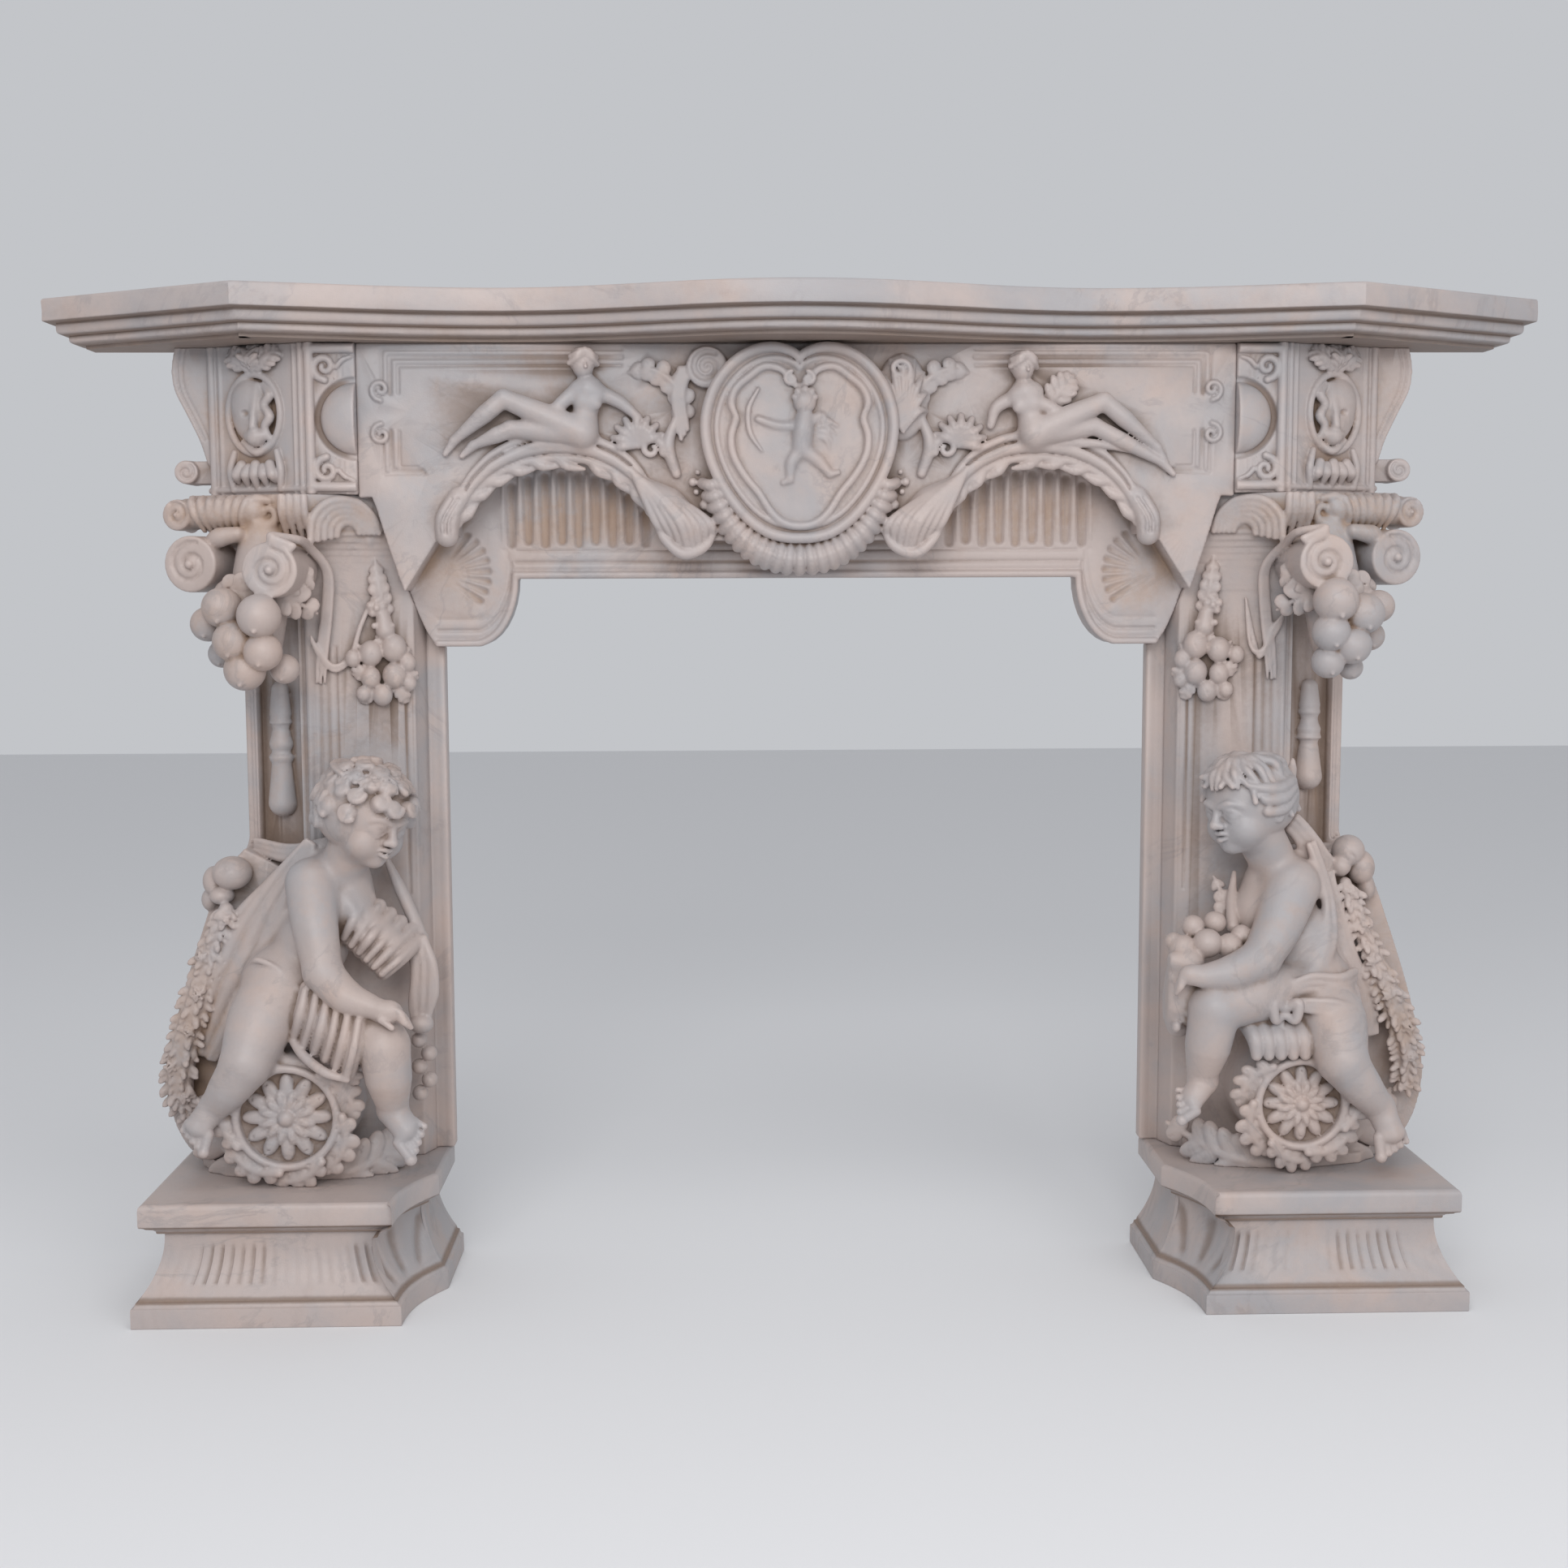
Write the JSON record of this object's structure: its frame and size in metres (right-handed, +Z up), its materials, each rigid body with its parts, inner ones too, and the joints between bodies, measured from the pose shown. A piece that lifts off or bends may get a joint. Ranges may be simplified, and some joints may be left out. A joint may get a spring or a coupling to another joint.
{
  "type": "fireplace mantel",
  "caption": "Carved marble fireplace mantel with a serpentine shelf, a cartouche frieze, reclining figures, and seated putti on scrolled console jambs.",
  "frame": {"origin": "centre of the mantel's box, at the hearth", "axes": "+Z up, +X to the viewer's right along the shelf, +Y into the wall; the carved front faces -Y"},
  "size_m": [1.85, 0.264, 1.226],
  "materials": {
    "marble_shelf": "honed marble, worn",
    "marble_frieze": "carved marble, brown stain in the recesses",
    "marble_jamb": "carved marble, brown stain in the recesses",
    "marble_plinth": "honed marble, worn"
  },
  "bodies": {
    "root": {"shelf": "marble_shelf", "lintel": "marble_frieze", "corner_block_left": "marble_frieze", "corner_block_right": "marble_frieze", "jamb_left": "marble_jamb", "jamb_right": "marble_jamb", "plinth_left": "marble_plinth", "plinth_right": "marble_plinth"}
  },
  "joints": []
}
